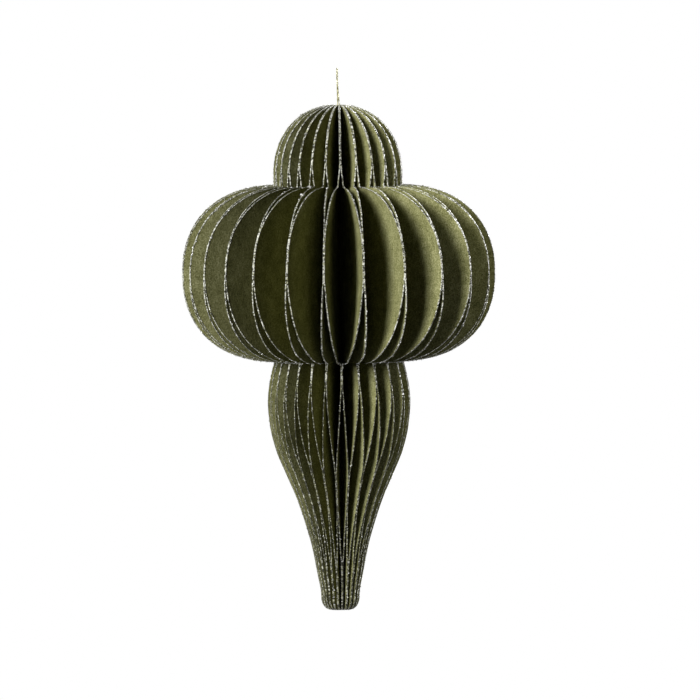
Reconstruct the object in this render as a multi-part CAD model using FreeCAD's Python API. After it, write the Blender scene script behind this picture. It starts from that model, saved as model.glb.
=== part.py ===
import FreeCAD, Part

import math
import os

# Hanging ornament of folded paper, in millimetres, +Z up.
# Its outline is a small dome, a wide bulge and a long finial that tapers to a round foot.
# Every leaf has that outline. One sheet of paper, folded once down its straight inner side,
# gives two leaves, and the folds stand side by side round a hollow core. Down the outer edge
# the two leaves of a sheet are glued together at some heights, and each to its neighbour's
# leaf at the heights between, so that the fan opens into cells.
# The origin is under the crown of the hanging loop, where the loop bears on its hook.
# Depths are measured down from the flat top of the leaves. A bearing is measured about the
# vertical axis from the front, which faces -Y, and grows towards +X.

# Paper and fan
sheet_count = 25
paper_thickness = 0.30
glue_thickness = 0.05
fold_clearance = 0.04
first_bearing = 12.8

# How the opened fan leans from its folds, in degrees at the bulge's edge: all the leaves towards
# the front at one side, the front and back ones together more and more towards the core, and a
# slight twist. Then how far each sheet strays by itself, in turn.
fan_crowding_angle = 9.6
fan_squeeze_angle_at_rim = 0.75
fan_squeeze_angle_at_core = 5.85
fan_twist_angle = 1.1
sheet_stray_angles = [-0.47, -0.35, 0.30, 0.40, -0.03, -0.29, 0.40, -0.20, 0.10, -0.45, 0.25, 0.35,
                      -0.30, 0.15, -0.10, 0.45, -0.40, 0.05, 0.30, -0.13, -0.10, 0.06, 0.04, 0.32, 0.07]

# Outline of a leaf
dome_radius = 25.6
dome_arch = 28.1
dome_height = 31.7
dome_fullness = 2.15
crown_radius = 4.2
neck_radius = 25.5
bulge_radius = 62.0
bulge_height = 69.4
bulge_fullness_above = 2.2
bulge_fullness_below = 2.25
finial_radius = 28.3
finial_belly_drop = 16.4
finial_height = 98.9
foot_radius = 7.6
foot_corner = 5.0
foot_flat_radius = 3.7

# How the finial narrows from its belly to its foot: share of the drop, share of the radius
finial_taper = [(0.0, 1.0), (0.12, 0.960), (0.245, 0.847), (0.37, 0.655), (0.49, 0.462),
                (0.615, 0.303), (0.735, 0.176), (0.86, 0.084), (1.0, 0.0)]

# How far a leaf has swung, 0 against its own sheet's other leaf and 1 against the next sheet's:
# share of that part's edge, counted from above, and swing
dome_swing = [(0.0, 0.0), (0.76, 0.0), (0.8, 0.03), (0.845, 0.09), (0.873, 0.13), (0.901, 0.18),
              (0.929, 0.235), (0.957, 0.275), (1.0, 0.35)]
bulge_swing = [(0.0, 0.35), (0.045, 0.49), (0.091, 0.64), (0.143, 0.775), (0.187, 0.835),
               (0.228, 0.886), (0.258, 0.92), (0.285, 0.955), (0.32, 0.985), (0.36, 1.0), (0.49, 1.0),
               (0.533, 0.955), (0.576, 0.905), (0.604, 0.866), (0.642, 0.827), (0.683, 0.768),
               (0.728, 0.707), (0.772, 0.632), (0.82, 0.54), (0.87, 0.5), (0.94, 0.45),
               (0.975, 0.33), (1.0, 0.1)]
finial_swing = [(0.0, 0.1), (0.02, 0.0), (0.075, 0.0), (0.103, 0.06), (0.164, 0.2), (0.225, 0.35),
                (0.287, 0.515), (0.351, 0.72), (0.384, 0.83), (0.418, 0.94), (0.45, 1.0), (0.58, 1.0),
                (0.618, 0.9), (0.65, 0.815), (0.683, 0.71), (0.714, 0.61), (0.746, 0.485),
                (0.777, 0.25), (0.81, 0.04), (0.84, 0.0), (1.0, 0.0)]
swing_scatter = 0.012

# Thread loop and its knot
thread_diameter = 0.5
loop_height = 14.3
loop_gap = 1.1
loop_bearing = 10.0
exit_offset = 0.55
exit_spread = 0.84
strand_apart_in_core = 0.75
strand_apart_at_bow = 1.26
strand_apart_at_exit = 0.40
straight_above_knot = 2.5
turn_below_top = 0.5
bow_offset = 0.20
bow_spread = 0.20
bow_height = 4.9
crown_start = 3.8
knot_depth = 7.0
knot_height = 4.6
knot_flat_radius = 1.5
knot_clearance = 0.05

# Points along each part's edge, one about every so many millimetres and closer at the necks
edge_step = 2.6
step_squeeze_share = 0.6
fine_steps = 1500

# Worked out from the above
half_pair = (paper_thickness + glue_thickness) / 2
fold_half_width = paper_thickness + glue_thickness / 2
fold_radius = sheet_count * (2 * fold_half_width + fold_clearance) / (2 * math.pi)
fold_nose = 0.86 * fold_half_width
nose_half_width = 0.5 * fold_half_width
knot_radius = fold_radius - fold_nose - knot_clearance
top_z = -loop_height


def even_rise(table, at):
    """A smooth curve through the table's points that never overshoots them."""
    gaps = [b[0] - a[0] for a, b in zip(table, table[1:])]
    slopes = [(b[1] - a[1]) / g for a, b, g in zip(table, table[1:], gaps)]
    ends = [0.0] * len(table)
    for i in range(1, len(table) - 1):
        if slopes[i - 1] * slopes[i] > 0:
            ends[i] = 2 * slopes[i - 1] * slopes[i] / (slopes[i - 1] + slopes[i])
    i = 0
    while i < len(gaps) - 1 and at > table[i + 1][0]:
        i += 1
    t = min(1.0, max(0.0, (at - table[i][0]) / gaps[i]))
    rise = t * t * (3 - 2 * t)
    bend = gaps[i] * (ends[i] * t * (1 - t) ** 2 - ends[i + 1] * t * t * (1 - t))
    return table[i][1] * (1 - rise) + table[i + 1][1] * rise + bend


def scatter(number):
    """A fixed value between -1 and 1 for each whole number, for handmade unevenness."""
    value = math.sin(12.9898 * number + 4.1) * 437.585
    return 2 * (value - math.floor(value)) - 1


def dome_outline(share):
    """Radius and depth on the dome, from its crown to the first neck."""
    start = math.asin((crown_radius / dome_radius) ** (dome_fullness / 2))
    cut = dome_arch * (1 - math.cos(start) ** (2 / dome_fullness))
    arch_share = 0.94
    if share <= arch_share:
        turn = start + (math.pi / 2 - start) * share / arch_share
        radius = dome_radius * math.sin(turn) ** (2 / dome_fullness)
        depth = dome_arch * (1 - max(0.0, math.cos(turn)) ** (2 / dome_fullness)) - cut
    else:
        rest = (share - arch_share) / (1 - arch_share)
        radius = dome_radius + (neck_radius - dome_radius) * rest
        depth = (dome_arch - cut) + (dome_height - dome_arch + cut) * rest
    return radius, depth


def bulge_outline(share):
    """Radius and depth on the bulge, from the first neck to the second."""
    turn = math.pi * share
    fullness = bulge_fullness_above if share < 0.5 else bulge_fullness_below
    out = max(0.0, math.sin(turn)) ** (2 / fullness)
    along = abs(math.cos(turn)) ** (2 / fullness)
    middle = dome_height + bulge_height / 2
    radius = neck_radius + (bulge_radius - neck_radius) * out
    return radius, middle - math.copysign(along, math.cos(turn)) * bulge_height / 2


def finial_outline(share):
    """Radius and depth on the finial, from the second neck to the flat of its foot."""
    neck_depth = dome_height + bulge_height
    taper_end = finial_height - foot_corner
    belly_share = 0.14
    taper_share = 0.93
    if share < belly_share:
        part = share / belly_share
        radius = neck_radius + (finial_radius - neck_radius) * (1 - (1 - part) ** 1.8)
        depth = part * finial_belly_drop
    elif share < taper_share:
        part = (share - belly_share) / (taper_share - belly_share)
        radius = foot_radius + (finial_radius - foot_radius) * even_rise(finial_taper, part)
        depth = finial_belly_drop + (taper_end - finial_belly_drop) * part
    else:
        turn = math.pi / 2 * (share - taper_share) / (1 - taper_share)
        radius = foot_flat_radius + (foot_radius - foot_flat_radius) * math.cos(turn)
        depth = taper_end + foot_corner * math.sin(turn)
    return radius, neck_depth + depth


def edge_points(outline):
    """Points along an outline, closer at its ends: share of its length, radius and depth."""
    fine = [outline(i / fine_steps) for i in range(fine_steps + 1)]
    run = [0.0]
    for a, b in zip(fine, fine[1:]):
        run.append(run[-1] + math.dist(a, b))
    count = max(8, round(run[-1] / edge_step))
    points = []
    j = 0
    for i in range(count + 1):
        share = i / count - step_squeeze_share * math.sin(2 * math.pi * i / count) / (2 * math.pi)
        goal = run[-1] * share
        while j < fine_steps - 1 and run[j + 1] < goal:
            j += 1
        t = (goal - run[j]) / (run[j + 1] - run[j])
        radius = fine[j][0] + (fine[j + 1][0] - fine[j][0]) * t
        depth = fine[j][1] + (fine[j + 1][1] - fine[j][1]) * t
        points.append((share, radius, depth))
    return points


def even_bearing(index):
    """Bearing of a sheet's fold: the folds stand evenly round the core."""
    return 2 * math.pi * index / sheet_count + math.radians(first_bearing)


def outer_bearing(index, radius):
    """Bearing of a sheet's outer edge: the sheet leans from its fold, so narrow places turn less."""
    even = even_bearing(index)
    out = radius / bulge_radius
    squeeze = fan_squeeze_angle_at_core + (fan_squeeze_angle_at_rim - fan_squeeze_angle_at_core) * out
    lean = -fan_crowding_angle * math.cos(even) - squeeze * math.sin(even) - fan_twist_angle * out
    lean += sheet_stray_angles[index % sheet_count % len(sheet_stray_angles)]
    reach = (1 - fold_radius / radius) / (1 - fold_radius / bulge_radius)
    return even + math.radians(lean) * reach


def polar(radius, bearing):
    return (radius * math.sin(bearing), -radius * math.cos(bearing))


def leaf_swing(table, share, leaf):
    """Swing of one leaf: the glued places sit a little higher or lower from leaf to leaf."""
    window = math.sin(math.pi * share)
    return even_rise(table, share + swing_scatter * scatter(leaf) * window)


def corner_line(index, side, radius, swing):
    """The two corners of one leaf's edge, outer face first. side is 1 or -1."""
    own = outer_bearing(index, radius)
    half_gap = abs(outer_bearing(index + side, radius) - own) / 2
    beside = math.asin(half_pair / radius)
    turn = beside + swing * (half_gap - 2 * beside)
    tip = polar(radius, own + side * turn)
    fold = even_bearing(index)
    along = polar(1.0, fold)
    across = (math.cos(fold), math.sin(fold))
    root = [fold_radius * a + side * half_pair * c for a, c in zip(along, across)]
    run = [tip[0] - root[0], tip[1] - root[1]]
    size = math.hypot(*run)
    half = side * paper_thickness / 2 / size
    normal = (-run[1] * half, run[0] * half)
    return [(tip[0] + normal[0], tip[1] + normal[1]), (tip[0] - normal[0], tip[1] - normal[1])]


def section(index, radius, swings):
    """Corners of a sheet's cross-section at one depth, once round: leaf, fold, leaf."""
    fold = even_bearing(index)

    def at_fold(out, across):
        return (out * math.sin(fold) + across * math.cos(fold),
                -out * math.cos(fold) + across * math.sin(fold))

    right = corner_line(index, 1, radius, swings[1])
    left = corner_line(index, -1, radius, swings[0])
    return [right[0],
            at_fold(fold_radius, fold_half_width),
            at_fold(fold_radius - fold_nose, nose_half_width),
            at_fold(fold_radius - fold_nose, -nose_half_width),
            at_fold(fold_radius, -fold_half_width),
            left[0],
            left[1],
            at_fold(fold_radius, -glue_thickness / 2),
            at_fold(fold_radius, glue_thickness / 2),
            right[1]]


def curve_through(points, shares):
    curve = Part.BSplineCurve()
    curve.interpolate(Points=points, Parameters=shares)
    return curve.toShape()


def folded_sheet(index):
    """One sheet as a closed solid: faces ruled from the fold to the edge, level at every depth."""
    faces = []
    ends = []
    for points, table in PARTS_OF_EDGE:
        shares = [p[0] for p in points]
        sections = []
        for share, radius, depth in points:
            swings = [leaf_swing(table, share, 2 * index + 90), leaf_swing(table, share, 2 * index + 91)]
            corners = section(index, radius, swings)
            sections.append([FreeCAD.Vector(x, y, top_z - depth) for x, y in corners])
        curves = [curve_through([s[i] for s in sections], shares) for i in range(len(sections[0]))]
        for one, other in zip(curves, curves[1:] + curves[:1]):
            faces.append(Part.makeRuledSurface(one, other))
        ends.append((sections[0], sections[-1]))
    for corners in (ends[0][0], ends[-1][1]):
        faces.append(Part.Face(Part.makePolygon(corners + corners[:1])))
    shell = Part.makeCompound(faces)
    shell.sewShape()
    solid = Part.Solid(shell.Shells[0] if shell.ShapeType != "Shell" else shell)
    if solid.Volume < 0:
        solid.reverse()
    return solid


def rounded_route(corners):
    """Straight runs joined by tangent arcs, each as large as its two runs allow."""
    points = [FreeCAD.Vector(*c) for c in corners]
    edges = []
    radii = []
    start = points[0]
    for before, here, after in zip(points, points[1:], points[2:]):
        back = before - here
        on = after - here
        shorter = min(back.Length, on.Length)
        turn = math.pi - back.getAngle(on)
        radii.append(0.45 * shorter / math.tan(turn / 2))
        first = here + back.normalize() * (0.45 * shorter)
        last = here + on.normalize() * (0.45 * shorter)
        inward = (back + on).normalize()
        reach = radii[-1] / math.cos(turn / 2) - radii[-1]
        edges.append(Part.LineSegment(start, first).toShape())
        edges.append(Part.Arc(first, here + inward * reach, last).toShape())
        start = last
    edges.append(Part.LineSegment(start, points[-1]).toShape())
    return Part.Wire(edges), radii


def loop_corners():
    """The thread's route: up from the knot, out of the core, over the crown and back down."""
    knot_z = top_z - knot_depth
    turn = math.radians(loop_bearing)
    crown_x = loop_gap / 2 * math.sin(turn)
    crown_y = loop_gap / 2 * math.cos(turn)
    strands = []
    for side in (-1, 1):
        foot = (exit_offset + side * exit_spread / 2, side * strand_apart_in_core / 2)
        strands.append([(foot[0], foot[1], knot_z),
                        (foot[0], foot[1], knot_z + straight_above_knot),
                        (foot[0], side * strand_apart_at_exit / 2, top_z - turn_below_top),
                        (bow_offset + side * bow_spread / 2, side * strand_apart_at_bow / 2,
                         top_z + bow_height),
                        (side * crown_x * 1.2, side * crown_y * 1.1, -crown_start),
                        (side * crown_x, side * crown_y, thread_diameter / 2)])
    return strands[0] + strands[1][::-1]


def thread_loop():
    route, radii = rounded_route(loop_corners())
    start = route.Edges[0].Vertexes[0].Point
    ring = Part.Wire(Part.Circle(start, FreeCAD.Vector(0, 0, 1), thread_diameter / 2).toShape())
    tube = route.makePipeShell([ring], True, True)
    expected = math.pi * (thread_diameter / 2) ** 2 * route.Length
    print("thread length %.2f, volume over section times length %.4f"
          % (route.Length, tube.Volume / expected))
    print("thread radii", [round(r, 2) for r in radii])
    return tube


def knot():
    """A barrel as large as the hollow of the core allows, flat where the two strands leave it."""
    top = top_z - knot_depth
    middle = top - knot_height / 2
    side = Part.Arc(FreeCAD.Vector(knot_flat_radius, 0, top),
                    FreeCAD.Vector(knot_radius, 0, middle),
                    FreeCAD.Vector(knot_flat_radius, 0, top - knot_height)).toShape()
    lines = [FreeCAD.Vector(knot_flat_radius, 0, top - knot_height),
             FreeCAD.Vector(0, 0, top - knot_height),
             FreeCAD.Vector(0, 0, top),
             FreeCAD.Vector(knot_flat_radius, 0, top)]
    outline = Part.Wire([side] + Part.makePolygon(lines).Edges)
    return Part.Face(outline).revolve(FreeCAD.Vector(0, 0, 0), FreeCAD.Vector(0, 0, 1), 360)


PARTS_OF_EDGE = [(edge_points(dome_outline), dome_swing),
                 (edge_points(bulge_outline), bulge_swing),
                 (edge_points(finial_outline), finial_swing)]

os.makedirs("parts", exist_ok=True)
pieces = {"hanging_thread": thread_loop(), "thread_knot": knot()}
for number in range(sheet_count):
    pieces["folded_sheet_%02d" % (number + 1)] = folded_sheet(number)

paper_volume = 0.0
for name, shape in pieces.items():
    if not (shape.isValid() and shape.isClosed() and len(shape.Solids) == 1):
        raise ValueError(name + " is not one closed valid solid")
    if name.startswith("folded_sheet"):
        paper_volume += shape.Volume
    shape.exportStep("parts/" + name + ".step")
print("fold radius %.3f, knot radius %.3f" % (fold_radius, knot_radius))
print("paper %.1f cm3, area of one sheet about %.1f cm2"
      % (paper_volume / 1000, paper_volume / sheet_count / paper_thickness / 100))
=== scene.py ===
import math

import bpy
import numpy as np
from mathutils import Matrix, Vector


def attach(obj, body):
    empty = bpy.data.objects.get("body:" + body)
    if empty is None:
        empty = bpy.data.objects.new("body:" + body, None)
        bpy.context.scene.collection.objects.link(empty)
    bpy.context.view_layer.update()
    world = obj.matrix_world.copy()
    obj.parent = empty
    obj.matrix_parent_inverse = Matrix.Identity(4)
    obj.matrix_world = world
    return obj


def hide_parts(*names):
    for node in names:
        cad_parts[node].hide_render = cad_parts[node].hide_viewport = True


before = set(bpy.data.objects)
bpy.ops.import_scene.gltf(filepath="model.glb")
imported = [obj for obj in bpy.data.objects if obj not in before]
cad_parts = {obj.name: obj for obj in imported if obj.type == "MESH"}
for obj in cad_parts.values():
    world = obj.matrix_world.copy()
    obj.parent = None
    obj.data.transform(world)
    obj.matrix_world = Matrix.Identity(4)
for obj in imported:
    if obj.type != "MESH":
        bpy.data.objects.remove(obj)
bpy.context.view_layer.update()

# Hanging ornament of folded and glued paper, in metres, +Z up. The shapes follow the packed
# model's own dimensions: 25 sheets, each folded once down its inner side, stand round a hollow
# core, and every leaf's outer edge carries silver glitter. A thread loop holds it by the top.
# A bearing is measured about the vertical axis from the front, which faces -Y, towards +X.

MM = 0.001

# Paper and fan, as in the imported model
SHEETS = 25
PAPER = 0.30 * MM
GLUE = 0.05 * MM
FOLD_CLEARANCE = 0.04 * MM
FIRST_BEARING = math.radians(12.8)

# How the sheets' edges lean from even bearings, in degrees: outer_bearing says how they are used
CROWDING = 9.6
SQUEEZE_AT_RIM = 0.75
SQUEEZE_AT_CORE = 5.85
TWIST = 1.1
STRAYS = [-0.47, -0.35, 0.30, 0.40, -0.03, -0.29, 0.40, -0.20, 0.10, -0.45, 0.25, 0.35, -0.30,
          0.15, -0.10, 0.45, -0.40, 0.05, 0.30, -0.13, -0.10, 0.06, 0.04, 0.32, 0.07]

# Outline of a leaf
DOME_RADIUS = 25.6 * MM
DOME_ARCH = 28.1 * MM
DOME_HEIGHT = 31.7 * MM
DOME_FULLNESS = 2.15
CROWN_RADIUS = 4.2 * MM
NECK_RADIUS = 25.5 * MM
BULGE_RADIUS = 62.0 * MM
BULGE_HEIGHT = 69.4 * MM
FULLNESS_ABOVE = 2.2
FULLNESS_BELOW = 2.25
BELLY_RADIUS = 28.3 * MM
BELLY_DROP = 16.4 * MM
FINIAL_HEIGHT = 98.9 * MM
FOOT_RADIUS = 7.6 * MM
FOOT_CORNER = 5.0 * MM
FOOT_FLAT = 3.7 * MM
TOP_Z = -14.3 * MM

# At a share of the taper's length, the share of its radius that is left. The swings say, at a
# share of the length of each part's outline, how far a leaf has moved from its own sheet's other
# leaf (0) to the next sheet's leaf (1), and the scatter moves those shares a little.
FINIAL_TAPER = [(0.0, 1.0), (0.12, 0.960), (0.245, 0.847), (0.37, 0.655), (0.49, 0.462),
                (0.615, 0.303), (0.735, 0.176), (0.86, 0.084), (1.0, 0.0)]
DOME_SWING = [(0.0, 0.0), (0.76, 0.0), (0.8, 0.03), (0.845, 0.09), (0.873, 0.13), (0.901, 0.18),
              (0.929, 0.235), (0.957, 0.275), (1.0, 0.35)]
BULGE_SWING = [(0.0, 0.35), (0.045, 0.49), (0.091, 0.64), (0.143, 0.775), (0.187, 0.835),
               (0.228, 0.886), (0.258, 0.92), (0.285, 0.955), (0.32, 0.985), (0.36, 1.0),
               (0.49, 1.0), (0.533, 0.955), (0.576, 0.905), (0.604, 0.866), (0.642, 0.827),
               (0.683, 0.768), (0.728, 0.707), (0.772, 0.632), (0.82, 0.54), (0.87, 0.5),
               (0.94, 0.45), (0.975, 0.33), (1.0, 0.1)]
FINIAL_SWING = [(0.0, 0.1), (0.02, 0.0), (0.075, 0.0), (0.103, 0.06), (0.164, 0.2),
                (0.225, 0.35), (0.287, 0.515), (0.351, 0.72), (0.384, 0.83), (0.418, 0.94),
                (0.45, 1.0), (0.58, 1.0), (0.618, 0.9), (0.65, 0.815), (0.683, 0.71),
                (0.714, 0.61), (0.746, 0.485), (0.777, 0.25), (0.81, 0.04), (0.84, 0.0),
                (1.0, 0.0)]
SWING_SCATTER = 0.012

# Leaves glued in pairs, the ring of folds, and the knot inside it
HALF_PAIR = (PAPER + GLUE) / 2
FOLD_HALF = PAPER + GLUE / 2
FOLD_RADIUS = SHEETS * (2 * FOLD_HALF + FOLD_CLEARANCE) / (2 * math.pi)
FOLD_NOSE = 0.86 * FOLD_HALF
KNOT_TOP = TOP_Z - 7.0 * MM
KNOT_HEIGHT = 4.6 * MM
KNOT_RADIUS = FOLD_RADIUS - FOLD_NOSE - 0.05 * MM
KNOT_FLAT = 1.5 * MM

# Density of the meshes. Rows are given for the dome, the bulge and the finial, and crowd towards
# the ends of each by this share.
ROWS_PER_PART = (30, 84, 66)
ROW_CROWDING = 0.6
LEAF_COLUMNS = 7
OUTLINE_STEPS = 1501
CRUST_ROWS_FACTOR = 2.1
FLAKE_ROWS_FACTOR = 4

# First number of the leaves' fixed scatter, and of the glitter's random draws
LEAF_SCATTER = 90
FLAKE_SEED = 4100

# Glitter: how far the crust stands out beside and beyond an edge, how deep it reaches down the
# face, how near two crusts may come, and how wide a common flake is
GLITTER_SIDE = 0.08 * MM
GLITTER_OUT = 0.09 * MM
GLITTER_DEPTH = 0.16 * MM
GLITTER_GAP = 0.005 * MM
FLAKE = 0.30 * MM
FLAKES_PER_LEAF = 420

# Two clumps where glue ran together: the sheet's index, a depth for each leaf, and their flakes
CLUMPED_SHEET = 23
CLUMP_DEPTHS = {-1: 31.3 * MM, 1: 34.0 * MM}
CLUMP_FLAKES = 34


# ---------------------------------------------------------------- shapes of a leaf

def even_rise(table, at):
    """Piecewise cubic through the table's points; each inner slope is the harmonic mean of its
    two neighbours, so the curve never overshoots a point."""
    xs, ys = np.array(table).T
    gaps = np.diff(xs)
    slopes = np.diff(ys) / gaps
    product = slopes[:-1] * slopes[1:]
    total = np.where(product > 0, slopes[:-1] + slopes[1:], 1.0)
    ends = np.zeros(len(xs))
    ends[1:-1] = np.where(product > 0, 2 * product / total, 0.0)
    i = np.clip(np.searchsorted(xs, at, side="left") - 1, 0, len(gaps) - 1)
    t = np.clip((at - xs[i]) / gaps[i], 0.0, 1.0)
    rise = t * t * (3 - 2 * t)
    bend = gaps[i] * (ends[i] * t * (1 - t) ** 2 - ends[i + 1] * t * t * (1 - t))
    return ys[i] * (1 - rise) + ys[i + 1] * rise + bend


def scatter(number):
    """Fixed value between -1 and 1: the fraction left of a large sine, stretched to that range.
    The factors are arbitrary: any large ones scatter neighbouring numbers as well."""
    value = np.sin(12.9898 * number + 4.1) * 437.585
    return 2 * (value - np.floor(value)) - 1


def dome_outline(share):
    """Superellipse quarter of the dome's radius and arch, less its cut-off tip, then a short
    straight run in to the neck."""
    start = math.asin((CROWN_RADIUS / DOME_RADIUS) ** (DOME_FULLNESS / 2))
    cut = DOME_ARCH * (1 - math.cos(start) ** (2 / DOME_FULLNESS))
    arch_share = 0.94
    turn = start + (math.pi / 2 - start) * np.minimum(share / arch_share, 1.0)
    rest = np.maximum(share - arch_share, 0.0) / (1 - arch_share)
    cosine = np.maximum(np.cos(turn), 0.0)
    radius = DOME_RADIUS * np.sin(turn) ** (2 / DOME_FULLNESS) + (NECK_RADIUS - DOME_RADIUS) * rest
    depth = DOME_ARCH * (1 - cosine ** (2 / DOME_FULLNESS)) - cut
    return radius, depth + (DOME_HEIGHT - DOME_ARCH + cut) * rest


def bulge_outline(share):
    """Superellipse half, fuller above its middle than below, standing out from the neck."""
    turn = math.pi * share
    fullness = np.where(share < 0.5, FULLNESS_ABOVE, FULLNESS_BELOW)
    out = np.maximum(np.sin(turn), 0.0) ** (2 / fullness)
    along = np.abs(np.cos(turn)) ** (2 / fullness)
    middle = DOME_HEIGHT + BULGE_HEIGHT / 2
    radius = NECK_RADIUS + (BULGE_RADIUS - NECK_RADIUS) * out
    return radius, middle - np.copysign(along, np.cos(turn)) * BULGE_HEIGHT / 2


def finial_outline(share):
    """Belly that swells by a power curve, then the taper table's curve, then a quarter circle
    round the foot's corner."""
    taper_end = FINIAL_HEIGHT - FOOT_CORNER
    belly, taper, swell_power = 0.14, 0.93, 1.8
    swell = np.clip(share / belly, 0.0, 1.0)
    part = np.clip((share - belly) / (taper - belly), 0.0, 1.0)
    turn = math.pi / 2 * np.clip((share - taper) / (1 - taper), 0.0, 1.0)
    at_belly = NECK_RADIUS + (BELLY_RADIUS - NECK_RADIUS) * (1 - (1 - swell) ** swell_power)
    at_taper = FOOT_RADIUS + (BELLY_RADIUS - FOOT_RADIUS) * even_rise(FINIAL_TAPER, part)
    at_foot = FOOT_FLAT + (FOOT_RADIUS - FOOT_FLAT) * np.cos(turn)
    radius = np.where(share < belly, at_belly, np.where(share < taper, at_taper, at_foot))
    depth = swell * BELLY_DROP + part * (taper_end - BELLY_DROP) + FOOT_CORNER * np.sin(turn)
    return radius, DOME_HEIGHT + BULGE_HEIGHT + depth


def leaf_rows(rows_per_part, leaf):
    """Rows down a leaf's edge: radius, depth and swing. Each part's outline is walked by its
    length, with rows closer together at its ends, and the swing is the part's own table."""
    radii, depths, swings = [], [], []
    parts = ((dome_outline, DOME_SWING), (bulge_outline, BULGE_SWING),
             (finial_outline, FINIAL_SWING))
    for (outline, table), rows in zip(parts, rows_per_part):
        radius, depth = outline(np.linspace(0.0, 1.0, OUTLINE_STEPS))
        run = np.concatenate([[0.0], np.cumsum(np.hypot(np.diff(radius), np.diff(depth)))])
        t = np.linspace(0.0, 1.0, rows + 1)
        share = t - ROW_CROWDING * np.sin(2 * math.pi * t) / (2 * math.pi)
        first = 0 if not radii else 1
        radii.append(np.interp(share, run / run[-1], radius)[first:])
        depths.append(np.interp(share, run / run[-1], depth)[first:])
        moved = share + SWING_SCATTER * scatter(leaf) * np.sin(math.pi * share)
        swings.append(even_rise(table, moved)[first:])
    return np.concatenate(radii), np.concatenate(depths), np.concatenate(swings)


def even_bearing(index):
    """Bearing of a sheet's fold: the folds stand evenly round the core."""
    return 2 * math.pi * index / SHEETS + FIRST_BEARING


def outer_bearing(index, radius):
    """Bearing of a sheet's edge: its fold's bearing, plus a lean of -crowding times its cosine,
    -squeeze times its sine, -twist and the sheet's own stray. The lean grows with the radius as
    the distance from the fold does, and is whole at the bulge's rim."""
    even = even_bearing(index)
    out = radius / BULGE_RADIUS
    squeeze = SQUEEZE_AT_CORE + (SQUEEZE_AT_RIM - SQUEEZE_AT_CORE) * out
    lean = -CROWDING * math.cos(even) - squeeze * math.sin(even) - TWIST * out
    lean += STRAYS[index % SHEETS]
    reach = (1 - FOLD_RADIUS / radius) / (1 - FOLD_RADIUS / BULGE_RADIUS)
    return even + np.radians(lean) * reach


def leaf_lines(index, side, rows_per_part=ROWS_PER_PART):
    """One leaf at every row: where its middle line starts at the fold and ends at the edge, the
    unit vector along it, its normal away from the sheet's other leaf, the depth, and how much
    free room the edge has towards its own and towards the next sheet's leaf."""
    leaf = LEAF_SCATTER + 2 * index + (1 if side > 0 else 0)
    radius, depth, swing = leaf_rows(rows_per_part, leaf)
    own = outer_bearing(index, radius)
    half_gap = np.abs(outer_bearing(index + side, radius) - own) / 2
    beside = np.arcsin(HALF_PAIR / radius)
    turn = beside + swing * (half_gap - 2 * beside)
    tip = np.stack([radius * np.sin(own + side * turn), -radius * np.cos(own + side * turn)], 1)
    fold = even_bearing(index)
    root = np.array([FOLD_RADIUS * math.sin(fold) + side * HALF_PAIR * math.cos(fold),
                     -FOLD_RADIUS * math.cos(fold) + side * HALF_PAIR * math.sin(fold)])
    run = tip - root
    along = run / np.linalg.norm(run, axis=1, keepdims=True)
    normal = side * np.stack([-along[:, 1], along[:, 0]], 1)
    free_own = 2 * radius * np.sin(turn) - PAPER
    free_next = 2 * radius * np.sin(np.maximum(half_gap - turn, 0.0)) - PAPER
    return root, tip, along, normal, depth, free_own, free_next


# ---------------------------------------------------------------- meshes

def make_piece(name, points, faces, material, sharp_angle=None):
    """A mesh object at the origin, unturned, from an array of points and a list of face arrays.
    It is shaded smooth up to the sharp angle, or flat where none is given."""
    mesh = bpy.data.meshes.new(name)
    counts = np.concatenate([np.full(len(f), f.shape[1]) for f in faces])
    loops = np.concatenate([f.ravel() for f in faces]).astype(np.int32)
    mesh.vertices.add(len(points))
    mesh.vertices.foreach_set("co", np.asarray(points, dtype=np.float32).ravel())
    mesh.loops.add(len(loops))
    mesh.loops.foreach_set("vertex_index", loops)
    mesh.polygons.add(len(counts))
    starts = np.concatenate([[0], np.cumsum(counts)[:-1]]).astype(np.int32)
    mesh.polygons.foreach_set("loop_start", starts)
    mesh.update(calc_edges=True)
    mesh.validate()
    mesh.polygons.foreach_set("use_smooth", np.full(len(counts), sharp_angle is not None))
    if sharp_angle is not None and sharp_angle < math.pi:
        mesh.set_sharp_from_angle(angle=sharp_angle)
    mesh.materials.append(material)
    piece = bpy.data.objects.new(name, mesh)
    bpy.context.scene.collection.objects.link(piece)
    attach(piece, "root")
    return piece


def wall_faces(rows, ring):
    """Quads between neighbouring rings of points, ring after ring, closed round the ring."""
    i = np.arange(rows - 1)[:, None] * ring
    j = np.arange(ring)[None, :]
    k = (j + 1) % ring
    return np.stack([i + j, i + k, i + ring + k, i + ring + j], 2).reshape(-1, 4)


def capped_tube(rings, ends):
    """Points and faces of a tube from its rings of points, in rows, closed at each end by a fan
    of triangles round that end's middle point."""
    rows, ring = rings.shape[:2]
    j = np.arange(ring)
    k = (j + 1) % ring
    last = (rows - 1) * ring
    first_fan = np.stack([k, j, np.full(ring, rows * ring)], 1)
    last_fan = np.stack([j + last, k + last, np.full(ring, rows * ring + 1)], 1)
    points = np.concatenate([rings.reshape(-1, 3), ends])
    return points, [wall_faces(rows, ring), first_fan, last_fan]


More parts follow.
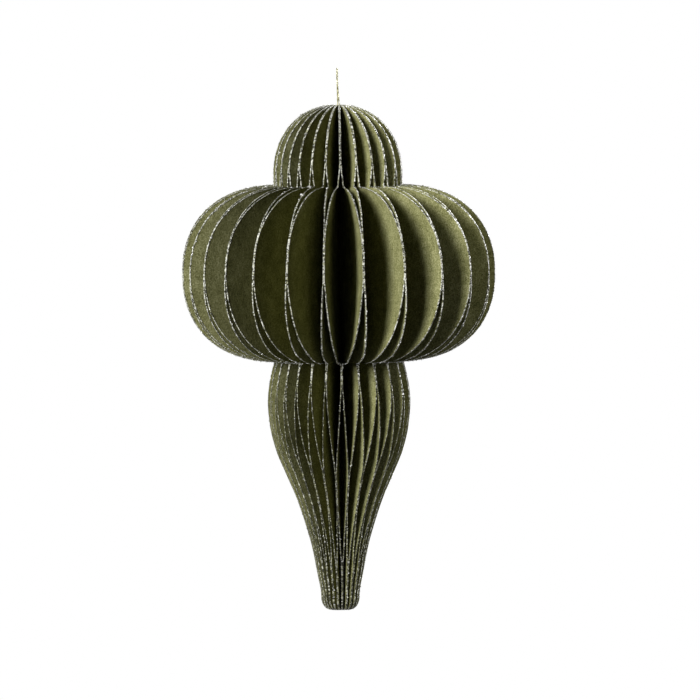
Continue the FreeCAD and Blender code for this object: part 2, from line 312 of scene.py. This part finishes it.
def folded_sheet(index, material):
    """One folded sheet as a closed body: at every depth its section runs down the right leaf's
    outer face, round the fold's nose, out along the left leaf, and back along both inner faces.
    A leaf's middle line is straight from fold to edge and half the paper's thickness lies each
    side of it."""
    fold = even_bearing(index)
    out = np.array([math.sin(fold), -math.cos(fold)])
    across = np.array([math.cos(fold), math.sin(fold)])
    shares = np.linspace(1.0, 0.0, LEAF_COLUMNS + 1)
    faces_of = {}
    for side in (1, -1):
        root, tip, along, normal, depth, _, _ = leaf_lines(index, side)
        for face, half in (("outer", PAPER / 2), ("inner", -PAPER / 2)):
            edge = tip + normal * half
            foot = root + side * across * half
            grid = foot + (edge - foot)[:, None, :] * shares[None, :, None]
            faces_of[side, face] = grid
    rows = len(depth)
    nose = FOLD_RADIUS - FOLD_NOSE
    half_nose = FOLD_HALF / 2 * across
    noses = np.stack([nose * out + half_nose, nose * out - half_nose])
    noses = np.broadcast_to(noses, (rows, 2, 2))
    ring = np.concatenate([faces_of[1, "outer"], noses, faces_of[-1, "outer"][:, ::-1],
                           faces_of[-1, "inner"], faces_of[1, "inner"][:, ::-1]], 1)
    size = ring.shape[1]
    height = np.broadcast_to((TOP_Z - depth)[:, None, None], (rows, size, 1))
    points = np.concatenate([ring, height], 2).reshape(-1, 3)
    n = LEAF_COLUMNS + 1
    right_out = np.arange(n)
    nose_ids = np.array([n, n + 1])
    left_out = (n + 2) + np.arange(n)[::-1]
    left_in = (2 * n + 2) + np.arange(n)
    right_in = (3 * n + 2) + np.arange(n)[::-1]
    right_quads = np.stack([right_out[:-1], right_in[:-1], right_in[1:], right_out[1:]], 1)
    left_quads = np.stack([left_out[1:], left_in[1:], left_in[:-1], left_out[:-1]], 1)
    middle_quad = np.array([[nose_ids[0], right_in[-1], left_in[-1], nose_ids[1]]])
    middle_tris = np.array([[right_out[-1], right_in[-1], nose_ids[0]],
                            [nose_ids[1], left_in[-1], left_out[-1]]])
    quads = np.concatenate([right_quads, left_quads, middle_quad])
    last = (rows - 1) * size
    walls = wall_faces(rows, size)[:, ::-1]
    faces = [walls, quads[:, ::-1], quads + last, middle_tris[:, ::-1], middle_tris + last]
    return make_piece("paper_sheet_%02d" % (index + 1), points, faces, material,
                      math.radians(35))


# ---------------------------------------------------------------- camera

def aim_camera():
    """Camera at the photograph's angle: 5.5 m off behind a long lens, looking 2.75 degrees down
    and turned a third of a degree about its own axis."""
    down, roll, distance = math.radians(2.75), math.radians(0.36), 5.5
    target, width_seen, sensor = np.array([0.00440, 0.0, -0.11135]), 0.2772, 36.0
    back = np.array([0.0, -math.cos(down), math.sin(down)])
    level = np.array([1.0, 0.0, 0.0])
    rise = np.array([0.0, math.sin(down), math.cos(down)])
    right = math.cos(roll) * level - math.sin(roll) * rise
    up = math.sin(roll) * level + math.cos(roll) * rise
    data = bpy.data.cameras.new("camera")
    data.sensor_width = sensor
    data.lens = sensor * distance / width_seen
    data.clip_start = 0.05
    data.clip_end = 60.0
    camera = bpy.data.objects.new("camera", data)
    bpy.context.scene.collection.objects.link(camera)
    turned = np.eye(4)
    turned[:3, 0], turned[:3, 1], turned[:3, 2] = right, up, back
    turned[:3, 3] = target + back * distance
    camera.matrix_world = Matrix(turned.tolist())
    bpy.context.scene.camera = camera


aim_camera()


# ---------------------------------------------------------------- materials

def colour(text):
    """An sRGB hex colour as linear red, green, blue and alpha."""
    parts = np.array([int(text[i:i + 2], 16) for i in (1, 3, 5)]) / 255
    linear = np.where(parts <= 0.04045, parts / 12.92, ((parts + 0.055) / 1.055) ** 2.4)
    return (*linear.tolist(), 1.0)


def add(tree, kind, settings=None, **links):
    """Adds a node, sets its own settings and its input values, and links other nodes' outputs.
    Sockets are named with _ for a space, or i0, i1 ... by number. A colour ramp's setting
    "stops" lists its positions, each with a hex colour."""
    node = tree.nodes.new(kind)
    for key, value in (settings or {}).items():
        if key == "stops":
            elements = node.color_ramp.elements
            while len(elements) < len(value):
                elements.new(0.5)
            for element, (position, text) in zip(elements, value):
                element.position = position
                element.color = colour(text)
        else:
            setattr(node, key, value)
    for key, value in links.items():
        by_number = key[0] == "i" and key[1:].isdigit()
        socket = node.inputs[int(key[1:])] if by_number else node.inputs[key.replace("_", " ")]
        if isinstance(value, bpy.types.NodeSocket):
            tree.links.new(value, socket)
        else:
            socket.default_value = value
    return node


def new_material(name):
    """A node material with an empty tree, and that tree."""
    material = bpy.data.materials.new(name)
    material.use_nodes = True
    material.node_tree.nodes.clear()
    return material, material.node_tree


def cotton_card():
    """Handmade cotton card, dyed in the pulp and left uncoated: dead matt, with a speckle of
    fibre clumps half a millimetre across and a broader cloudiness of a few millimetres."""
    material, tree = new_material("dyed_cotton_card")
    place = add(tree, "ShaderNodeTexCoord").outputs["Object"]
    # fibre clumps, 0.5 mm: finer ones would not show at this distance
    grain = add(tree, "ShaderNodeTexNoise", None, Vector=place, Scale=1 / (0.5 * MM), Detail=2.0,
                Roughness=0.7)
    # clouds of thicker pulp, 6 mm
    cloud = add(tree, "ShaderNodeTexNoise", None, Vector=place, Scale=1 / (6 * MM), Detail=2.0,
                Roughness=0.5)
    # single long fibres, drawn out down the sheet, 0.3 by 2 mm
    drawn = add(tree, "ShaderNodeMapping", None, Vector=place, Scale=(1.0, 1.0, 0.16))
    fibre = add(tree, "ShaderNodeTexNoise", None, Vector=drawn.outputs["Vector"],
                Scale=1 / (0.32 * MM), Detail=2.0, Roughness=0.5)
    # six tenths of clumps, two of clouds and two of fibres
    part = add(tree, "ShaderNodeMath", {"operation": "MULTIPLY"}, i0=grain.outputs["Fac"], i1=0.6)
    part = add(tree, "ShaderNodeMath", {"operation": "MULTIPLY_ADD"}, i0=cloud.outputs["Fac"],
               i1=0.2, i2=part.outputs[0])
    part = add(tree, "ShaderNodeMath", {"operation": "MULTIPLY_ADD"}, i0=fibre.outputs["Fac"],
               i1=0.2, i2=part.outputs[0])
    shade = add(tree, "ShaderNodeValToRGB", {"stops": [(0.36, "#585834"), (0.50, "#88885a"),
                                                       (0.64, "#b8b78a")]}, Fac=part.outputs[0])
    bump = add(tree, "ShaderNodeBump", None, Height=grain.outputs["Fac"], Strength=1.0,
               Distance=0.10 * MM)
    surface = add(tree, "ShaderNodeBsdfPrincipled", None, Base_Color=shade.outputs["Color"],
                  Normal=bump.outputs["Normal"], Roughness=0.95, IOR=1.45,
                  Specular_IOR_Level=0.02)
    add(tree, "ShaderNodeOutputMaterial", None, Surface=surface.outputs["BSDF"])
    return material


def foil_glitter(name, size, stops, metallic):
    """Silver foil glitter set in clear craft glue: hundreds of tiny mirrors, some catching the
    light and some turned away, so that a strip of it looks like frost. Which grains catch the light
    is painted into the colour at random, grain by grain: painted glints near white and painted
    shade near black, on top of each grain's own tilt. Below the bulge these painted glints are
    dimmed, so that the bright grains thin out to single dots."""
    material, tree = new_material(name)
    place = add(tree, "ShaderNodeTexCoord").outputs["Object"]
    cells = add(tree, "ShaderNodeTexVoronoi", {"feature": "F1"}, Vector=place, Scale=1 / size,
                Randomness=1.0)
    painted_glint = add(tree, "ShaderNodeSeparateColor", None, Color=cells.outputs["Color"])
    # between these two heights, on the finial's belly, the painted glints' value falls to 0.6 of
    # itself
    height = add(tree, "ShaderNodeSeparateXYZ", None, Vector=place)
    full = add(tree, "ShaderNodeMapRange", None, Value=height.outputs["Z"], From_Min=-125 * MM,
               From_Max=-117 * MM, To_Min=0.60, To_Max=1.0)
    share = add(tree, "ShaderNodeMath", {"operation": "MULTIPLY"}, i0=painted_glint.outputs["Red"],
                i1=full.outputs["Result"])
    # painted glints and painted shade: each grain's value becomes near black, grey or near white in
    # the colour
    shade = add(tree, "ShaderNodeValToRGB", {"stops": stops}, Fac=share.outputs[0])
    # each grain's own tilt: its cell's colour, moved to lie between -0.65 and 0.65
    tilt = add(tree, "ShaderNodeVectorMath", {"operation": "MULTIPLY_ADD"},
               i0=cells.outputs["Color"], i1=(1.3, 1.3, 1.3), i2=(-0.65, -0.65, -0.65))
    normal = add(tree, "ShaderNodeNewGeometry").outputs["Normal"]
    turned = add(tree, "ShaderNodeVectorMath", {"operation": "ADD"}, i0=normal,
                 i1=tilt.outputs["Vector"])
    straight = add(tree, "ShaderNodeVectorMath", {"operation": "NORMALIZE"},
                   i0=turned.outputs["Vector"])
    surface = add(tree, "ShaderNodeBsdfPrincipled", None, Base_Color=shade.outputs["Color"],
                  Normal=straight.outputs["Vector"], Metallic=metallic, Roughness=0.34)
    add(tree, "ShaderNodeOutputMaterial", None, Surface=surface.outputs["BSDF"])
    return material


def gold_thread():
    """Metallised embroidery thread, two plies of pale gold strip wound over a cotton core: it
    glints in short slanted dashes where the strip turns to the light. These glints are painted into
    its colour, near white, with painted shade, dark olive, between them."""
    material, tree = new_material("metallised_gold_thread")
    place = add(tree, "ShaderNodeTexCoord").outputs["Object"]
    # strip windings, drawn 0.55 mm apart so that they show; the same noise gives the bump and the
    # painted glints and painted shade of the colour ramp below
    winding_and_painted_glint = add(tree, "ShaderNodeTexNoise", None, Vector=place, Scale=1 / (0.55 * MM), Detail=1.0)
    # painted shade dark olive, gold in between, painted glints near white
    shade = add(tree, "ShaderNodeValToRGB", {"stops": [(0.40, "#4a4824"), (0.50, "#9a9560"),
                                                       (0.62, "#f2f0dc")]},
                Fac=winding_and_painted_glint.outputs["Fac"])
    bump = add(tree, "ShaderNodeBump", None, Height=winding_and_painted_glint.outputs["Fac"], Strength=0.4,
               Distance=0.05 * MM)
    surface = add(tree, "ShaderNodeBsdfPrincipled", None, Base_Color=shade.outputs["Color"],
                  Normal=bump.outputs["Normal"], Metallic=0.85, Roughness=0.38)
    add(tree, "ShaderNodeOutputMaterial", None, Surface=surface.outputs["BSDF"])
    return material


# ---------------------------------------------------------------- thread loop and knot

THREAD = 0.5 * MM
PLY_TURN = 1.6 * MM
THREAD_STEP = 0.16 * MM
THREAD_SIDES = 12

# The loop's route in millimetres, from the knot up, over the crown and down to the knot, and the
# point where it leaves the leaves
ROUTE = [(0.13, -0.375, -21.3), (0.13, -0.375, -18.8), (0.13, -0.20, -14.8), (0.10, -0.63, -9.4),
         (-0.1146, -0.5958, -3.8), (-0.0987, -0.5505, -0.85), (-0.0955, -0.5416, 0.25),
         (0.0955, 0.5416, 0.25), (0.0987, 0.5505, -0.85), (0.1146, 0.5958, -3.8),
         (0.30, 0.63, -9.4), (0.97, 0.20, -14.8), (0.97, 0.375, -18.8), (0.97, 0.375, -21.3)]


def thread_line():
    """Points along the loop: a quadratic NURBS spline whose control points are the route."""
    curve = bpy.data.curves.new("thread_route", "CURVE")
    curve.dimensions = "3D"
    spline = curve.splines.new("NURBS")
    spline.points.add(len(ROUTE) - 1)
    for point, (x, y, z) in zip(spline.points, ROUTE):
        point.co = (x * MM, y * MM, z * MM, 1.0)
    spline.order_u = 3
    spline.use_endpoint_u = True
    spline.resolution_u = 24
    holder = bpy.data.objects.new("thread_route", curve)
    mesh = bpy.data.meshes.new_from_object(holder)
    line = np.empty(len(mesh.vertices) * 3)
    mesh.vertices.foreach_get("co", line)
    bpy.data.objects.remove(holder)
    bpy.data.meshes.remove(mesh)
    bpy.data.curves.remove(curve)
    return line.reshape(-1, 3)


def frames_across(line):
    """Two unit vectors across the line at each point, carried along it without spinning. They
    start as a pair that is square to the line and to the X axis, which the loop never runs
    along. That pair spins a little from each point to the next, by the angle between the last
    point's vector and its own, and the sum of those angles turns it back."""
    along = np.gradient(line, axis=0)
    along /= np.linalg.norm(along, axis=1, keepdims=True)
    sides = np.cross(along, (1.0, 0.0, 0.0))
    sides /= np.linalg.norm(sides, axis=1, keepdims=True)
    others = np.cross(along, sides)
    spins = np.arctan2((sides[:-1] * others[1:]).sum(1), (sides[:-1] * sides[1:]).sum(1))
    back = np.concatenate([[0.0], np.cumsum(spins)])[:, None]
    return (np.cos(back) * sides + np.sin(back) * others,
            np.cos(back) * others - np.sin(back) * sides)


def twisted_thread(line, material):
    """A tube along the line whose section has two lobes, like two plies side by side, that turn
    once in each ply turn: radius = R (0.80 + 0.24 |cos(angle - turn)|)."""
    run = np.concatenate([[0], np.cumsum(np.linalg.norm(np.diff(line, axis=0), axis=1))])
    at = np.linspace(0, run[-1], int(run[-1] / THREAD_STEP))
    centre, a, b = (np.stack([np.interp(at, run, rows[:, k]) for k in range(3)], 1)
                    for rows in (line, *frames_across(line)))
    angle = np.arange(THREAD_SIDES) * 2 * math.pi / THREAD_SIDES
    turn = at[:, None] * 2 * math.pi / PLY_TURN
    radius = THREAD / 2 * (0.80 + 0.24 * np.abs(np.cos(angle - turn)))
    across = (np.cos(angle)[:, None] * a[:, None] + np.sin(angle)[:, None] * b[:, None])
    points, faces = capped_tube(centre[:, None] + radius[..., None] * across, centre[[0, -1]])
    return make_piece("thread_loop", points, faces, material, math.pi)


def wound_knot(material):
    """The knot: a barrel turned from a circle's arc, less a groove 0.16 mm deep wherever a sine
    of height and angle crosses nought, so that slanted ridges wind over it as the thread's
    rounds do. The grooves ease out to the flat ends, where the two strands leave it."""
    rows, ring, groove, pitch = 36, 48, 0.16 * MM, 1.1 * THREAD
    t = np.linspace(0, 1, rows)[:, None]
    angle = (np.arange(ring) * 2 * math.pi / ring)[None, :]
    sag = KNOT_RADIUS - KNOT_FLAT
    arc = (sag ** 2 + (KNOT_HEIGHT / 2) ** 2) / (2 * sag)
    height = (t - 0.5) * KNOT_HEIGHT
    barrel = np.sqrt(arc ** 2 - height ** 2) - (arc - KNOT_RADIUS)
    ridge = np.abs(np.sin(math.pi * height / pitch + 1.5 * np.sin(angle) + angle))
    radius = barrel - groove * (1 - ridge) * np.sin(math.pi * t) ** 0.5
    level = np.broadcast_to(KNOT_TOP - KNOT_HEIGHT / 2 + height, radius.shape)
    rings = np.stack([radius * np.cos(angle), radius * np.sin(angle), level], 2)
    points, faces = capped_tube(rings, [[0, 0, KNOT_TOP - KNOT_HEIGHT], [0, 0, KNOT_TOP]])
    return make_piece("wound_knot", points, faces, material, math.radians(50))


# ---------------------------------------------------------------- glitter

def coat_share(depth):
    """How thick the glitter lies, by straight lines between depths: full on the bulge, three
    quarters of that on the dome, and over the finial's first 10 mm down to 0.28 of it."""
    neck, waist = DOME_HEIGHT, DOME_HEIGHT + BULGE_HEIGHT
    return np.interp(depth, [neck - 3 * MM, neck + 3 * MM, waist, waist + 10 * MM],
                     [0.75, 1.0, 1.0, 0.28])


def edge_coat(index, material):
    """The frosted crust round both leaves' outer edges: a closed strip whose section is a blunt
    U over the edge. At each row a fixed scatter makes the rim, the depth and each side up to 45%
    more or less. Before that, a side takes no more than half of the free room beside it."""
    points, faces, start = [], [], 0
    crust_rows = tuple(int(rows * CRUST_ROWS_FACTOR) for rows in ROWS_PER_PART)
    for side in (1, -1):
        _, tip, along, normal, depth, free_own, free_next = leaf_lines(index, side, crust_rows)
        rows = len(depth)
        # each leaf, and each of its four uses of the scatter, starts from another number
        seed = index * 731 + (0 if side > 0 else 397)
        thick = coat_share(depth)
        to_next = PAPER / 2 + np.minimum(GLITTER_SIDE * thick, free_next / 2 - GLITTER_GAP)
        to_own = PAPER / 2 + np.minimum(GLITTER_SIDE * thick, free_own / 2 - GLITTER_GAP)
        rough = [1 + 0.45 * scatter(np.arange(rows) + seed + 1000 * k) for k in range(4)]
        rim = GLITTER_OUT * rough[0] * thick
        deep = GLITTER_DEPTH * rough[1] * thick
        low_next = PAPER / 2 + (to_next - PAPER / 2) * np.clip(rough[2], 0.4, 1.4)
        low_own = PAPER / 2 + (to_own - PAPER / 2) * np.clip(rough[3], 0.4, 1.4)
        spots = [(to_next * 0.6, rim), (low_next, rim * 0.2), (low_next, -deep),
                 (-low_own, -deep), (-low_own, rim * 0.2), (-to_own * 0.6, rim)]
        ring = np.stack([tip + normal * w[:, None] + along * o[:, None] for w, o in spots], 1)
        height = np.broadcast_to((TOP_Z - depth)[:, None, None], (rows, len(spots), 1))
        body = np.concatenate([ring, height], 2)
        if side < 0:
            body = body[:, ::-1]
        size = len(spots)
        points.append(body.reshape(-1, 3))
        cap = np.array([[0, 1, 2, 3], [0, 3, 4, 5]])
        faces += [wall_faces(rows, size)[:, ::-1] + start, cap + start,
                  cap[:, ::-1] + start + (rows - 1) * size]
        start += rows * size
    return make_piece("glitter_edge_%02d" % (index + 1), np.concatenate(points), faces, material,
                      math.radians(30))


def loose_flakes(index, material, per_leaf):
    """Foil flakes caught on the edges: each a flat square diamond of eight triangles, turned any
    way. A flake's row is drawn by weight: the row's length, times the coat's share, times 0.35
    plus the product of two sine waves down the edge, which gather the flakes in patches."""
    rng = np.random.default_rng(FLAKE_SEED + index)
    clumped = index == CLUMPED_SHEET
    corners = np.array([[1, 0, 0], [0, 1, 0], [-1, 0, 0], [0, -1, 0], [0, 0, 0.25], [0, 0, -0.25]])
    triangles = np.array([[0, 1, 4], [1, 2, 4], [2, 3, 4], [3, 0, 4],
                          [1, 0, 5], [2, 1, 5], [3, 2, 5], [0, 3, 5]])
    lowest, highest = TOP_Z - 199.9 * MM, TOP_Z + 0.05 * MM
    points = []
    flake_rows = tuple(rows * FLAKE_ROWS_FACTOR for rows in ROWS_PER_PART)
    for side in (1, -1):
        _, tip, along, normal, depth, free_own, free_next = leaf_lines(index, side, flake_rows)
        step = np.hypot(np.diff(np.linalg.norm(tip, axis=1)), np.diff(depth))
        step = np.concatenate([[0], step])
        patch = 0.55 + 0.45 * np.sin(depth / (3.1 * MM) + index * 1.7 + side)
        patch *= 0.6 + 0.4 * np.sin(depth / (1.3 * MM) + index * 2.9 - side)
        weight = step * (0.35 + patch) * coat_share(depth)
        row = rng.choice(len(depth), size=per_leaf, p=weight / weight.sum())
        beside = np.where(rng.random(per_leaf) < 0.5, 1.0, -1.0) * rng.uniform(0.2, 1.0, per_leaf)
        free = np.where(beside > 0, free_next[row], free_own[row]) / 2
        wide = PAPER / 2 + np.minimum(GLITTER_SIDE * 1.1, np.maximum(free, 0.0))
        out = rng.uniform(-0.35 * MM, 0.15 * MM, per_leaf)
        if clumped:
            row[:CLUMP_FLAKES] = np.searchsorted(depth, CLUMP_DEPTHS[side])
            out[:CLUMP_FLAKES] = rng.uniform(-0.8 * MM, 0.9 * MM, CLUMP_FLAKES)
            beside[:CLUMP_FLAKES] = rng.uniform(-3.5, 3.5, CLUMP_FLAKES)
        flat = tip[row] + normal[row] * (beside * wide)[:, None] + along[row] * out[:, None]
        level = TOP_Z - depth[row] + rng.uniform(-0.25, 0.25, per_leaf) * MM
        centre = np.concatenate([flat, np.clip(level, lowest, highest)[:, None]], 1)
        size = FLAKE / 2 * (0.6 + 1.7 * rng.random(per_leaf) ** 3)
        if clumped:
            size[:CLUMP_FLAKES] *= 1.8
        turn = np.linalg.qr(rng.normal(size=(per_leaf, 3, 3)))[0]
        turn *= np.sign(np.linalg.det(turn))[:, None, None]
        local = corners * size[:, None, None]
        points.append(centre[:, None] + np.einsum("nij,nkj->nki", turn, local))
    points = np.concatenate(points)
    faces = [(triangles + (np.arange(len(points)) * len(corners))[:, None, None]).reshape(-1, 3)]
    points = points.reshape(-1, 3)
    return make_piece("glitter_flakes_%02d" % (index + 1), points, faces, material,
                      None)


card = cotton_card()
# the darkest stop of each ramp is painted shade on grains turned away, the lightest is painted
# glints
crust = foil_glitter("glitter_in_glue", 0.55 * MM,
                     [(0.30, "#26260f"), (0.42, "#a3a37c"), (0.62, "#fffff2")], 0.0)
flakes = foil_glitter("foil_flakes", 0.6 * MM,
                      [(0.10, "#66674a"), (0.25, "#e2e2cf"), (0.40, "#ffffff")], 0.4)
gold = gold_thread()

line = thread_line()
loop = twisted_thread(line, gold)
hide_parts("hanging_thread")
knot = wound_knot(gold)
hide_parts("thread_knot")

# Two collections, so that a lamp can light one half of the fan: sheets 2 to 13 stand on the right
left_half = bpy.data.collections.new("left_half")
right_half = bpy.data.collections.new("right_half")
left_half.objects.link(loop)
left_half.objects.link(knot)
for number in range(SHEETS):
    sheet = folded_sheet(number, card)
    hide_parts("folded_sheet_%02d" % (number + 1))
    half = right_half if 1 <= number <= 12 else left_half
    for piece in (sheet, edge_coat(number, crust), loose_flakes(number, flakes, FLAKES_PER_LEAF)):
        half.objects.link(piece)


# ---------------------------------------------------------------- studio

def soft_lamp(name, size, power, azimuth, height, lights=None):
    """A square softbox, 1.7 m from the ornament's middle at a bearing and a height angle, in
    degrees. Where a collection is given, it lights that alone."""
    middle, distance = np.array([0.0, 0.0, -0.10]), 1.7
    a, h = math.radians(azimuth), math.radians(height)
    away = np.array([math.sin(a) * math.cos(h), -math.cos(a) * math.cos(h), math.sin(h)])
    data = bpy.data.lights.new(name, "AREA")
    data.shape = "SQUARE"
    data.size = size
    data.energy = power
    lamp = bpy.data.objects.new(name, data)
    bpy.context.scene.collection.objects.link(lamp)
    lamp.location = (middle + away * distance).tolist()
    lamp.rotation_euler = Vector(away.tolist()).to_track_quat("Z", "Y").to_euler()
    if lights:
        lamp.light_linking.receiver_collection = lights


def studio_floor():
    """A round plain white floor well below the ornament, thinning out to nothing at its rim. It
    looks white, but sends little light back up, as a floor much further down would."""
    mesh = bpy.data.meshes.new("studio_floor")
    ring, radius, level = 64, 1.2, -0.34
    angle = np.arange(ring) * 2 * math.pi / ring
    points = np.stack([radius * np.cos(angle), radius * np.sin(angle), np.full(ring, level)], 1)
    mesh.from_pydata(points.tolist(), [], [list(range(ring))])
    floor = bpy.data.objects.new("studio_floor", mesh)
    bpy.context.scene.collection.objects.link(floor)
    material, tree = new_material("white_paper_floor")
    place = add(tree, "ShaderNodeTexCoord").outputs["Object"]
    far = add(tree, "ShaderNodeVectorMath", {"operation": "LENGTH"}, i0=place)
    fade = add(tree, "ShaderNodeMapRange", {"interpolation_type": "SMOOTHSTEP"},
               Value=far.outputs["Value"], From_Min=0.45, From_Max=1.15)
    path = add(tree, "ShaderNodeLightPath")
    grey = add(tree, "ShaderNodeMapRange", None, Value=path.outputs["Is Diffuse Ray"],
               To_Min=0.90, To_Max=0.08).outputs["Result"]
    tint = add(tree, "ShaderNodeCombineColor", None, Red=grey, Green=grey, Blue=grey)
    white = add(tree, "ShaderNodeBsdfDiffuse", None, Color=tint.outputs["Color"])
    clear = add(tree, "ShaderNodeBsdfTransparent")
    mix = add(tree, "ShaderNodeMixShader", None, i0=fade.outputs["Result"],
              i1=white.outputs["BSDF"], i2=clear.outputs["BSDF"])
    add(tree, "ShaderNodeOutputMaterial", None, Surface=mix.outputs["Shader"])
    mesh.materials.append(material)
    left_half.objects.link(floor)


def studio_world():
    """An even white room: strength 1 where the camera, a reflection or a clear material looks,
    and a lower level for the light that it gives."""
    world = bpy.data.worlds.new("white_room")
    world.use_nodes = True
    tree = world.node_tree
    tree.nodes.clear()
    path = add(tree, "ShaderNodeLightPath")
    seen = add(tree, "ShaderNodeMath", {"operation": "ADD", "use_clamp": True},
               i0=path.outputs["Is Camera Ray"], i1=path.outputs["Is Glossy Ray"])
    seen = add(tree, "ShaderNodeMath", {"operation": "ADD", "use_clamp": True},
               i0=seen.outputs[0], i1=path.outputs["Is Transmission Ray"])
    level = add(tree, "ShaderNodeMapRange", None, Value=seen.outputs[0], To_Min=0.01, To_Max=1.0)
    glow = add(tree, "ShaderNodeBackground", None, Color=(1, 1, 1, 1),
               Strength=level.outputs["Result"])
    add(tree, "ShaderNodeOutputWorld", None, Surface=glow.outputs["Background"])
    bpy.context.scene.world = world


studio_floor()
studio_world()
# side in metres, power in watts, bearing and height in degrees
soft_lamp("key_softbox_left", 0.62, 32.0, -43, 13, left_half)
soft_lamp("key_softbox_right", 0.70, 38.0, -34, 17, right_half)
soft_lamp("fill_softbox_right", 0.75, 5.5, 42, 0, right_half)
soft_lamp("back_softbox", 0.90, 44.0, 140, 22)

bpy.context.scene.view_settings.view_transform = "Standard"
